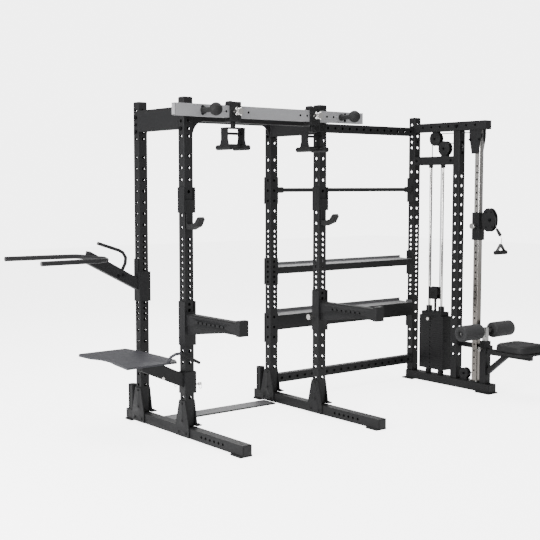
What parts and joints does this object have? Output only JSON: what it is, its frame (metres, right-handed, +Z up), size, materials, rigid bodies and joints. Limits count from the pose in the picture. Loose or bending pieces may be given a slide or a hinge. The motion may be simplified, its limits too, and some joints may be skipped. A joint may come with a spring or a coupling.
{
  "type": "cable crossover machine",
  "caption": "Half rack joined by a storage bay to a cable column with weight stack, swivel pulley, lat seat, pull-up beam, dip bars, spotter arms and foot plate.",
  "frame": {"origin": "bottom centre of the machine's bounding box, on the floor", "axes": "+X to the machine's right, along the storage bay; -Y is the front, where the user stands; +Z up"},
  "size_m": [4.116, 1.535, 2.31],
  "materials": {
    "black_coat": "powder coat, fine texture",
    "grey_coat": "silver grey powder coat",
    "plate_grey": "grey coated checker plate",
    "chrome": "polished",
    "steel": "zinc plated",
    "stack_paint": "satin black enamel",
    "pulley_black": "moulded nylon",
    "cable": "sheathed steel cable",
    "rubber": "matt",
    "strap": "woven nylon webbing",
    "leather": "grained upholstery vinyl",
    "foam": "closed-cell foam"
  },
  "bodies": {
    "frame": {"upright_rear_left": "black_coat", "upright_front_left": "black_coat", "upright_rear_right": "black_coat", "upright_front_right": "black_coat", "upright_cable_rear": "black_coat", "upright_cable_front": "black_coat", "base_beam_left": "black_coat", "base_beam_right": "black_coat", "base_beam_cable": "black_coat", "floor_plate": "black_coat", "crossmember_rear": "black_coat", "crossmember_front": "black_coat", "side_plate_left": "black_coat", "side_plate_right": "black_coat", "rail_top": "black_coat", "rail_bottom": "black_coat", "top_beam_cable": "black_coat", "crossbar_cable": "black_coat", "storage_bar": "black_coat", "tray_upper": "black_coat", "tray_lower": "black_coat", "seat_frame": "black_coat", "pull_up_beam": "grey_coat", "column": "chrome", "guide_rod_front": "chrome", "guide_rod_rear": "chrome", "weight_stack": "stack_paint", "seat_pad": "leather", "cable_column": "cable", "cable_high": "cable", "cable_lift_front": "cable", "cable_lift_rear": "cable", "cable_return": "cable"},
    "lift": {"stack_top_plate": "stack_paint", "float_block": "black_coat"},
    "selector_pin": {"selector_pin": "chrome"},
    "wheel_float": {"wheel_float": "pulley_black"},
    "wheel_top": {"wheel_top": "pulley_black"},
    "wheel_middle": {"wheel_middle": "pulley_black"},
    "wheel_base": {"wheel_base": "pulley_black"},
    "carriage": {"carriage": "black_coat"},
    "carriage_pin": {"carriage_pin": "chrome"},
    "housing": {"swivel_housing": "black_coat", "cable_stop": "rubber"},
    "wheel_swivel": {"wheel_swivel": "pulley_black"},
    "handle": {"stirrup_handle": "strap"},
    "clamp_left": {"beam_clamp_left": "black_coat"},
    "clamp_right": {"beam_clamp_right": "black_coat"},
    "yoke_left": {"handle_yoke_left": "black_coat"},
    "yoke_right": {"handle_yoke_right": "black_coat"},
    "j_hook_left": {"j_hook_left": "black_coat"},
    "j_hook_right": {"j_hook_right": "black_coat"},
    "spotter_left": {"spotter_arm_left": "black_coat"},
    "spotter_right": {"spotter_arm_right": "black_coat"},
    "dip": {"dip_station": "black_coat"},
    "step": {"step_arm": "black_coat", "step_plate": "plate_grey"},
    "roller_post": {"roller_post": "steel"},
    "roller_left": {"foam_roller_left": "foam"},
    "roller_right": {"foam_roller_right": "foam"}
  },
  "joints": [
    {"name": "stack_lift", "type": "slide", "parent": "frame", "child": "lift", "axis": [0, 0, 1], "range_m": [0, 1], "deforming": ["cable_lift_rear", "cable_lift_front"]},
    {"name": "selector_pull", "type": "slide", "parent": "lift", "child": "selector_pin", "axis": [-1, 0, 0], "range_m": [0, 0.03]},
    {"name": "float_wheel_spin", "type": "hinge", "parent": "lift", "child": "wheel_float", "pos_m": [1.74554, 0.33, 0.793], "axis": [1, 0, 0], "continuous": true},
    {"name": "top_wheel_spin", "type": "hinge", "parent": "frame", "child": "wheel_top", "pos_m": [1.74554, 0.3295, 2.121], "axis": [1, 0, 0], "continuous": true},
    {"name": "middle_wheel_spin", "type": "hinge", "parent": "frame", "child": "wheel_middle", "pos_m": [1.74554, 0.2255, 2.036], "axis": [1, 0, 0], "continuous": true},
    {"name": "base_wheel_spin", "type": "hinge", "parent": "frame", "child": "wheel_base", "pos_m": [1.74554, -0.0325, 0.136], "axis": [1, 0, 0], "continuous": true},
    {"name": "carriage_slide", "type": "slide", "parent": "frame", "child": "carriage", "axis": [0, 0, 1], "range_m": [-0.5, 0.4], "deforming": ["cable_column", "cable_return"]},
    {"name": "carriage_pin_pull", "type": "slide", "parent": "carriage", "child": "carriage_pin", "axis": [-1, 0, 0], "range_m": [0, 0.012], "stiffness_N_per_m": 400},
    {"name": "housing_swivel", "type": "hinge", "parent": "carriage", "child": "housing", "pos_m": [1.74554, -0.2115, 1.44], "axis": [0, 0, 1], "range_deg": [-40, 40]},
    {"name": "swivel_wheel_spin", "type": "hinge", "parent": "housing", "child": "wheel_swivel", "pos_m": [1.74554, -0.2875, 1.44], "axis": [1, 0, 0], "continuous": true},
    {"name": "handle_swing", "type": "hinge", "parent": "housing", "child": "handle", "pos_m": [1.74554, -0.3835, 1.311], "axis": [1, 0, 0], "range_deg": [-35, 60]},
    {"name": "clamp_left_slide", "type": "slide", "parent": "frame", "child": "clamp_left", "axis": [1, 0, 0], "range_m": [-0.16, 0.22]},
    {"name": "clamp_right_slide", "type": "slide", "parent": "frame", "child": "clamp_right", "axis": [1, 0, 0], "range_m": [-0.22, 0.16]},
    {"name": "yoke_left_swivel", "type": "hinge", "parent": "clamp_left", "child": "yoke_left", "pos_m": [-0.80846, -0.195, 2.14], "axis": [0, 0, 1], "continuous": true},
    {"name": "yoke_right_swivel", "type": "hinge", "parent": "clamp_right", "child": "yoke_right", "pos_m": [-0.11046, -0.195, 2.14], "axis": [0, 0, 1], "continuous": true},
    {"name": "j_hook_left_slide", "type": "slide", "parent": "frame", "child": "j_hook_left", "axis": [0, 0, 1], "range_m": [-0.24, 0.16]},
    {"name": "j_hook_right_slide", "type": "slide", "parent": "frame", "child": "j_hook_right", "axis": [0, 0, 1], "range_m": [-0.24, 0.16]},
    {"name": "spotter_left_slide", "type": "slide", "parent": "frame", "child": "spotter_left", "axis": [0, 0, 1], "range_m": [-0.04, 0.16]},
    {"name": "spotter_right_slide", "type": "slide", "parent": "frame", "child": "spotter_right", "axis": [0, 0, 1], "range_m": [-0.04, 0.16]},
    {"name": "dip_slide", "type": "slide", "parent": "frame", "child": "dip", "axis": [0, 0, 1], "range_m": [-0.16, 0.24]},
    {"name": "step_slide", "type": "slide", "parent": "frame", "child": "step", "axis": [0, 0, 1], "range_m": [-0.04, 0]},
    {"name": "roller_post_slide", "type": "slide", "parent": "frame", "child": "roller_post", "axis": [0, 0, 1], "range_m": [-0.04, 0.12]},
    {"name": "roller_left_spin", "type": "hinge", "parent": "roller_post", "child": "roller_left", "pos_m": [1.74554, -0.2455, 0.52], "axis": [1, 0, 0], "continuous": true},
    {"name": "roller_right_spin", "type": "hinge", "parent": "roller_post", "child": "roller_right", "pos_m": [1.74554, -0.2455, 0.52], "axis": [1, 0, 0], "continuous": true}
  ]
}
